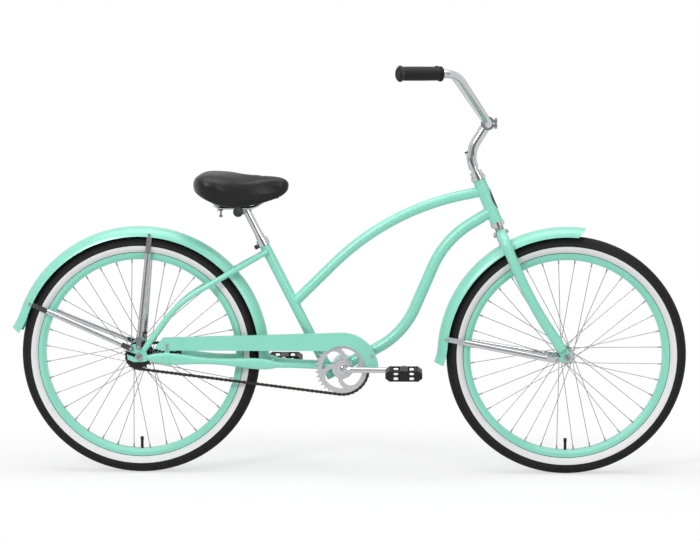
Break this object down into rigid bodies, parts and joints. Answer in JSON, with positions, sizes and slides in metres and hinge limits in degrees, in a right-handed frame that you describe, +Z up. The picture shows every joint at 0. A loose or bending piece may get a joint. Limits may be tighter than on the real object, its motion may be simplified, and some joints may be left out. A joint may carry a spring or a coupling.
{
  "type": "cruiser bicycle",
  "caption": "Beach cruiser bicycle with swept curved frame, fenders, chainguard, whitewall tyres, padded saddle and raised swept handlebar; single speed with coaster brake.",
  "frame": {"origin": "on the ground under the middle of the bicycle's length, in its middle plane", "axes": "+X forward, +Y to the rider's left, +Z up"},
  "size_m": [1.8754, 0.6918, 1.1329],
  "materials": {
    "mint_paint": "glossy enamel",
    "chrome": "polished",
    "steel": "plated",
    "dark_steel": "satin black",
    "tyre": "black tread with a white sidewall",
    "black_rubber": "matt",
    "black_plastic": "matt",
    "saddle_cover": "smooth black cover over padding",
    "badge": "bare plate with no mark"
  },
  "bodies": {
    "frame": {"head_tube": "mint_paint", "top_tube": "mint_paint", "down_tube": "mint_paint", "seat_tube": "mint_paint", "bottom_bracket_shell": "mint_paint", "chainstays": "mint_paint", "seatstays": "mint_paint", "stay_bridges": "mint_paint", "rear_dropouts": "mint_paint", "head_badge": "badge", "headset_cups": "chrome", "bearing_balls": "steel", "bottom_bracket_cups": "chrome", "seat_collar": "steel", "rear_fender": "mint_paint", "rear_fender_stays": "chrome", "frame_screws": "steel", "chainguard": "mint_paint", "chainguard_brackets": "mint_paint", "rear_axle": "steel", "rear_axle_nuts": "steel", "brake_arm": "steel", "chain": "dark_steel"},
    "fork": {"fork_steerer": "mint_paint", "fork_legs": "mint_paint", "headset_races": "chrome", "front_fender": "mint_paint", "front_fender_stays": "chrome", "front_fender_bolts": "steel", "front_axle": "steel", "front_axle_nuts": "steel"},
    "stem": {"stem": "chrome", "stem_bolts": "steel", "stem_plug": "black_rubber"},
    "handlebar": {"handlebar": "chrome", "grip_right": "black_rubber", "grip_left": "black_rubber"},
    "front_wheel": {"front_tyre": "tyre", "front_inner_tube": "black_rubber", "front_rim": "mint_paint", "front_spokes": "steel", "front_hub": "steel"},
    "rear_wheel": {"rear_tyre": "tyre", "rear_inner_tube": "black_rubber", "rear_rim": "mint_paint", "rear_spokes": "steel", "rear_hub": "dark_steel"},
    "driver": {"rear_sprocket": "dark_steel"},
    "crank": {"crank": "chrome", "bottom_bracket_cones": "steel", "chainring": "chrome", "pedal_spindles": "steel"},
    "pedal_right": {"pedal_right": "black_plastic"},
    "pedal_left": {"pedal_left": "black_plastic"},
    "seatpost": {"seatpost": "chrome", "saddle_clamp": "steel"},
    "saddle": {"saddle": "saddle_cover", "saddle_pan": "black_plastic", "saddle_rails": "steel", "saddle_clamp_discs": "steel"}
  },
  "joints": [
    {"name": "steering", "type": "hinge", "parent": "frame", "child": "fork", "pos_m": [0.38487, 0, 0.76205], "axis": [-0.3907, 0, 0.9205], "range_deg": [-80, 80]},
    {"name": "front_wheel_spin", "type": "hinge", "parent": "fork", "child": "front_wheel", "pos_m": [0.60523, 0, 0.3325], "axis": [0, 1, 0], "continuous": true},
    {"name": "rear_wheel_spin", "type": "hinge", "parent": "frame", "child": "rear_wheel", "pos_m": [-0.57876, 0, 0.3325], "axis": [0, 1, 0], "continuous": true},
    {"name": "crank_spin", "type": "hinge", "parent": "frame", "child": "crank", "pos_m": [-0.01578, 0, 0.299], "axis": [0, 1, 0], "continuous": true, "deforming": ["chain"]},
    {"name": "driver_spin", "type": "hinge", "parent": "frame", "child": "driver", "pos_m": [-0.57876, 0, 0.3325], "axis": [0, 1, 0], "continuous": true},
    {"name": "pedal_right_spin", "type": "hinge", "parent": "crank", "child": "pedal_right", "pos_m": [0.15423, -0.1405, 0.299], "axis": [0, 1, 0], "continuous": true},
    {"name": "pedal_left_spin", "type": "hinge", "parent": "crank", "child": "pedal_left", "pos_m": [-0.18577, 0.1405, 0.299], "axis": [0, 1, 0], "continuous": true},
    {"name": "seatpost_slide", "type": "slide", "parent": "frame", "child": "seatpost", "axis": [-0.454, 0, 0.891], "range_m": [-0.05, 0.05]},
    {"name": "saddle_tilt", "type": "hinge", "parent": "seatpost", "child": "saddle", "pos_m": [-0.30372, 0, 0.73196], "axis": [0, 1, 0], "range_deg": [-15, 15]},
    {"name": "stem_slide", "type": "slide", "parent": "fork", "child": "stem", "axis": [-0.3907, 0, 0.9205], "range_m": [-0.008, 0.03]},
    {"name": "handlebar_tilt", "type": "hinge", "parent": "stem", "child": "handlebar", "pos_m": [0.38363, 0, 0.97593], "axis": [0, 1, 0], "range_deg": [-20, 20]}
  ],
  "couplings": [
    {"joint": "driver_spin", "follows": "crank_spin", "ratio": 2}
  ]
}
